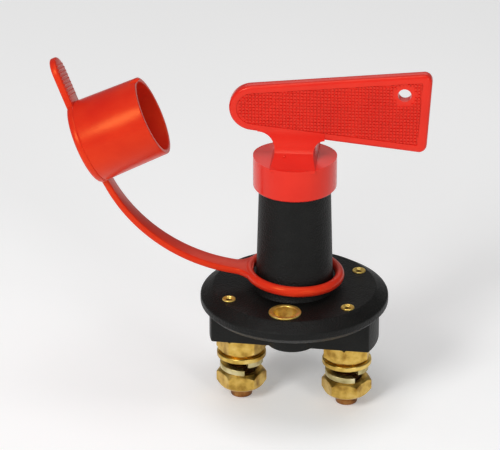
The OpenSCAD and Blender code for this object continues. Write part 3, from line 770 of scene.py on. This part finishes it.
def makeCover(c):
    # ring round the post
    outline = []
    for i in range(20):
        a = 2 * math.pi * i / 20
        outline.append((c["ringR"] + c["ringHalfW"] * math.cos(a), c["ringHalfH"] * math.sin(a)))
    ring = lathe("coverRing", outline, coverRed, 128, smooth=60)
    turnPiece(ring, Matrix.Rotation(math.radians(c["ringTilt"]), 4, "Y"))
    turnPiece(ring, Matrix.Translation((0, 0, c["ringZ"] * mm)))
    turnPiece(ring, coverTurn)
    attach(ring, "cover_ring")
    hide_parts("cover_ring")

    middle = sum(c["hinges"]) / 2
    halves = (("strapLower", c["from"], middle, c["hinges"][0], "cover_ring", "strap"),
              ("strapUpper", middle, c["to"], c["hinges"][1], "strap", "cap"))
    for name, start, end, hinge, near, far in halves:
        piece = makeStrap(name, start, end, c)
        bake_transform(piece)
        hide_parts("strap_middle")

    outline = [(0, 0)] + arc(c["discR"] - 1.3, 1.3, 1.3, 270, 360, 6)
    outline += arc(c["discR"] - 0.5, c["floor"] - 0.7, 0.5, 0, 70, 3) + [(c["footR"] + 0.05, c["floor"] + 0.25)]
    outline += arc(c["mouthR"] - 0.35, c["cupL"] - 0.35, 0.35, 0, 90, 4)
    outline += arc(c["boreR"] + 0.35, c["cupL"] - 0.35, 0.35, 90, 180, 4)
    outline += arc(c["boreR"] - 0.8, c["floor"] + 0.8, 0.8, 0, -90, 4) + [(0, c["floor"])]
    cap = solidLathe("coverCap", outline, coverRed, 128, smooth=45)
    tab = makeTab(c)
    spur = makeSpur(c)
    joinPieces(cap, [tab, spur])
    shadeByAngle(cap, 45)
    lay = (Matrix.Translation((c["mouth"][0] * mm, 0, c["mouth"][1] * mm))
           @ Matrix.Rotation(math.radians(90 - c["tilt"]), 4, "Y") @ Matrix.Translation((0, 0, -c["cupL"] * mm)))
    turnPiece(cap, coverTurn @ lay)
    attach(cap, "cap")
    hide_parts("cover_cap")


def makeTab(c):
    # pull tab with cross ribs on its cup side, in the plane of the cup's floor
    start, tip, half = c["footR"] - 1.9, c["tabReach"], c["tabW"] / 2
    outline = [(start, half)] + [(start, -half)] + arc(tip - half, 0, half, -90, 90, 20)
    tab = extrude("tab", outline, c["tabLift"], c["tabLift"] + c["tabT"], coverRed)
    soften(tab, 0.7, 4, 40, 45)
    ribs = []
    first, last = c["discR"] + 2.4, tip - 3.2
    for i in range(c["ribs"]):
        x = first + (last - first) * i / (c["ribs"] - 1)
        long = min(half - 1.2, math.sqrt(max(0.1, half ** 2 - max(0, x - tip + half) ** 2)) - 1.1)
        turns = [math.radians(a) for a in range(0, 181, 30)]
        section = [(x + 0.42 * math.cos(a), c["tabLift"] + c["tabT"] - 0.1 + 0.36 * math.sin(a)) for a in turns]
        ribs.append(loft("rib", [[(p, y, z) for p, z in section] for y in (-long, long)], coverRed, smooth=60))
    joinPieces(tab, ribs)
    return turnPiece(tab, Matrix.Rotation(math.radians(180 - c["tabTurn"]), 4, "Z"))


def makeSpur(c):
    # a thin tail of flash on the lip of the mouth
    r, z = c["mouthR"] - 0.5, c["cupL"]
    base = [(-r + 0.1, -1.0, z - 2.4), (-r - 0.7, -0.6, z - 2.6), (-r - 0.7, 0.6, z - 2.6), (-r + 0.1, 1.0, z - 2.4)]
    mid = [(-r + 0.2, -1.1, z - 0.2), (-r - 1.1, -0.6, z - 0.4), (-r - 1.1, 0.6, z - 0.4), (-r + 0.2, 1.1, z - 0.2)]
    top = [(-r - 0.4, -0.3, z + 1.7), (-r - 0.8, -0.3, z + 1.7), (-r - 0.8, 0.3, z + 1.7), (-r - 0.4, 0.3, z + 1.7)]
    return loft("spur", [base, mid, top], coverRed, smooth=60)


makeCover(cover)
print("cover made")

# inner works keep their CAD shapes and take finished materials
innerFinish = {"rotor": (nylonWhite, "nylon"), "plunger": (nylonWhite, "nylon"),
               "contact_bridge": (contactCopper, "copper"), "bridge_clip": (springSteel, "spring_steel"),
               "contact_spring": (springSteel, "spring_steel"), "return_spring": (springSteel, "spring_steel")}
for node, (material, slot) in innerFinish.items():
    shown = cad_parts[node]
    shown.data.materials.clear()
    shown.data.materials.append(material)
print("inner works finished")

# floor, light and camera
stage = {"floorZ": -38.4, "floorSize": 4.0, "azimuth": 9, "elevation": 25.5, "distance": 1.5, "lens": 298.6,
         "aim": (0, 0, 7.1), "shiftRight": -0.01606, "shiftUp": 0.0220, "floorGlow": 0.22, "skyStrength": 0.16}
# place, aimed at, size in metres, watts
lamps = {"keyLight": ((-0.50, -1.0, 0.80), (0, 0, 0.03), (0.4, 0.5), 9),
         "fillLight": ((0.80, -0.95, 0.45), (0, 0, 0.03), (0.22, 0.7), 3.0),
         "topLight": ((-0.05, -0.15, 1.15), (0, 0, 0.03), (0.7, 0.7), 4.2),
         "backLight": ((-0.1, 1.2, 0.68), (0, 0, 0.05), (1.0, 0.3), 0.8)}


def makeFloor(s):
    half = s["floorSize"] / 2 / mm
    outline = [(-half, -half), (half, -half), (half, half), (-half, half)]
    floor = extrude("floor", outline, s["floorZ"] - 5, s["floorZ"], floorWhite(s))


def floorWhite(s):
    material, tree, shader = nodeMaker("floorWhite", 0.9)
    noise = noiseNode(tree, 6, 2)
    ramp = rampNode(tree, noise.outputs["Fac"], [(0.2, (0.90, 0.90, 0.90)), (0.8, (0.93, 0.93, 0.93))])
    tree.links.new(ramp.outputs["Color"], shader.inputs["Base Color"])
    shader.inputs["Specular IOR Level"].default_value = 0.0
    shader.inputs["Emission Color"].default_value = (1, 1, 1, 1)
    shader.inputs["Emission Strength"].default_value = s["floorGlow"]
    return material


def makeLamp(name, place, aim, size, power):
    data = bpy.data.lights.new(name, "AREA")
    data.shape = "RECTANGLE"
    data.size, data.size_y = size
    data.energy = power
    lamp = bpy.data.objects.new(name, data)
    bpy.context.scene.collection.objects.link(lamp)
    lamp.location = place
    lamp.rotation_mode = "QUATERNION"
    lamp.rotation_quaternion = (Vector(place) - Vector(aim)).to_track_quat("Z", "Y")


def makeCamera(s):
    a, e = math.radians(s["azimuth"]), math.radians(s["elevation"])
    back = Vector((math.sin(a) * math.cos(e), -math.cos(a) * math.cos(e), math.sin(e)))
    right = Vector((math.cos(a), math.sin(a), 0))
    up = back.cross(right)
    data = bpy.data.cameras.new("camera")
    data.lens = s["lens"]
    data.sensor_width = 36
    camera = bpy.data.objects.new("camera", data)
    bpy.context.scene.collection.objects.link(camera)
    camera.location = Vector(s["aim"]) * mm + back * s["distance"] + right * s["shiftRight"] + up * s["shiftUp"]
    camera.rotation_mode = "QUATERNION"
    camera.rotation_quaternion = back.to_track_quat("Z", "Y")
    bpy.context.scene.camera = camera


makeFloor(stage)
for lampName, (lampPlace, lampAim, lampSize, watts) in lamps.items():
    makeLamp(lampName, lampPlace, lampAim, lampSize, watts)
makeCamera(stage)

world = bpy.data.worlds.new("world")
world.use_nodes = True
world.node_tree.nodes["Background"].inputs["Color"].default_value = (1, 1, 1, 1)
world.node_tree.nodes["Background"].inputs["Strength"].default_value = stage["skyStrength"]
bpy.context.scene.world = world
bpy.context.scene.view_settings.view_transform = "Standard"
print("stage made")
